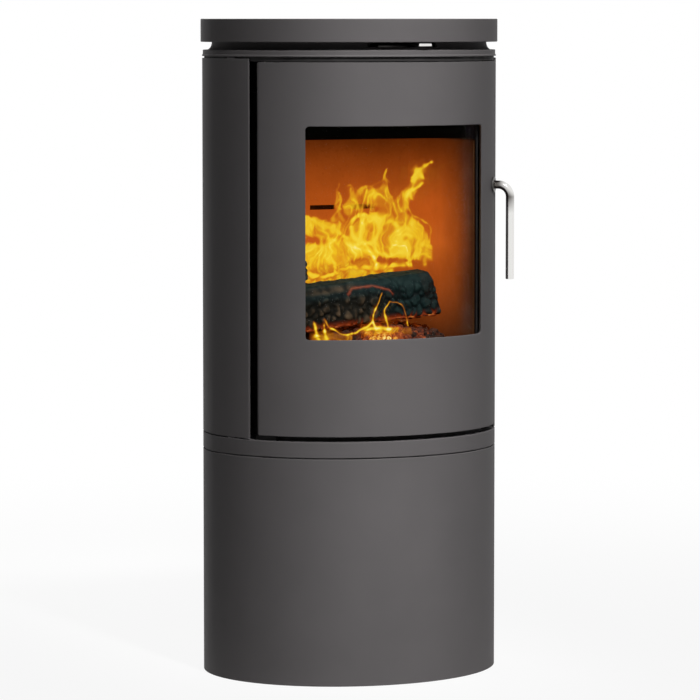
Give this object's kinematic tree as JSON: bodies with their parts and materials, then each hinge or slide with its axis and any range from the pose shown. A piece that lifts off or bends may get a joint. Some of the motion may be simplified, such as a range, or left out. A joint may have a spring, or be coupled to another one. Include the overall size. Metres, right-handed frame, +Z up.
{
  "type": "wood stove",
  "caption": "Tall oval free-standing wood stove with a curved glazed door, hanging bar handle, thick top plate, closed pedestal, brick-lined firebox, ash pan and air lever.",
  "frame": {"origin": "on the floor, under the middle of the oval body", "axes": "+Z up, -Y out of the glazed door, +X to the right as seen from the front, towards the handle"},
  "size_m": [0.5048, 0.387, 1.0835],
  "materials": {
    "casing_paint": "fine matt heat-resistant dark grey paint",
    "firebox_steel": "matt black stove paint, sooted",
    "cast_iron": "rough as-cast, sooted",
    "polished_steel": "polished stainless steel",
    "bright_steel": "plain drawn steel",
    "window_glass": "clear ceramic glass, lightly smoked",
    "firebrick": "pressed refractory board, porous",
    "seal_rope": "braided glass-fibre rope and tape",
    "charred_wood": "charred and cracked",
    "embers": "loose charcoal and ash"
  },
  "bodies": {
    "stove_body": {"base_shell": "casing_paint", "base_back_panel": "casing_paint", "middle_ring": "casing_paint", "upper_ring": "casing_paint", "top_plate": "casing_paint", "side_panel_left": "casing_paint", "side_panel_right": "casing_paint", "back_panel": "casing_paint", "base_floor_plate": "firebox_steel", "base_frame": "firebox_steel", "firebox_frame": "firebox_steel", "firebox_wall_left": "firebox_steel", "firebox_wall_right": "firebox_steel", "firebox_wall_back": "firebox_steel", "firebox_floor": "firebox_steel", "firebox_roof": "firebox_steel", "ash_shelf": "firebox_steel", "flue_collar": "firebox_steel", "air_box": "firebox_steel", "hinge_bracket_lower": "firebox_steel", "hinge_bracket_upper": "firebox_steel", "grate": "cast_iron", "log_guard": "cast_iron", "levelling_screw_front_left": "bright_steel", "levelling_screw_back_left": "bright_steel", "levelling_screw_front_right": "bright_steel", "levelling_screw_back_right": "bright_steel", "hinge_pin_lower": "bright_steel", "hinge_pin_upper": "bright_steel", "keeper_roller": "bright_steel", "latch_keeper": "bright_steel", "air_pivot_bolt": "bright_steel", "brick_left": "firebrick", "brick_right": "firebrick", "brick_back": "firebrick", "hearth_brick_left": "firebrick", "hearth_brick_right": "firebrick", "baffle_plate": "firebrick", "log_front": "charred_wood", "log_rear": "charred_wood", "log_top": "charred_wood", "ember_bed": "embers"},
    "door": {"door_plate": "casing_paint", "door_glass": "window_glass", "glass_gasket": "seal_rope", "glass_clip_left": "firebox_steel", "glass_clip_right": "firebox_steel", "glass_clip_top": "firebox_steel", "glass_clip_bottom": "firebox_steel", "rope_channel": "firebox_steel", "door_rope": "seal_rope", "hinge_lug_lower": "firebox_steel", "hinge_lug_upper": "firebox_steel", "handle_bushing": "bright_steel"},
    "handle": {"handle_rod": "polished_steel", "latch_cam": "bright_steel"},
    "ash_drawer": {"ash_pan": "firebox_steel"},
    "air_control": {"air_damper": "bright_steel", "air_lever": "bright_steel", "air_lever_tab": "polished_steel"}
  },
  "joints": [
    {"name": "door_swing", "type": "hinge", "parent": "stove_body", "child": "door", "pos_m": [-0.20158, -0.10591, 0.7105], "axis": [0, 0, -1], "range_deg": [0, 100]},
    {"name": "handle_turn", "type": "hinge", "parent": "door", "child": "handle", "pos_m": [0.20348, -0.12608, 0.8092], "axis": [0.7724, -0.6352, 0], "range_deg": [0, 60]},
    {"name": "ash_pan_slide", "type": "slide", "parent": "stove_body", "child": "ash_drawer", "axis": [0, -1, 0], "range_m": [0, 0.165]},
    {"name": "air_lever_swing", "type": "hinge", "parent": "stove_body", "child": "air_control", "pos_m": [0, -0.075, 1.0415], "axis": [0, 0, 1], "range_deg": [-31.7, 4.3]}
  ],
  "couplings": [
    {"joint": "ash_pan_slide", "follows": "door_swing", "m_per_rad": 0.0945}
  ]
}
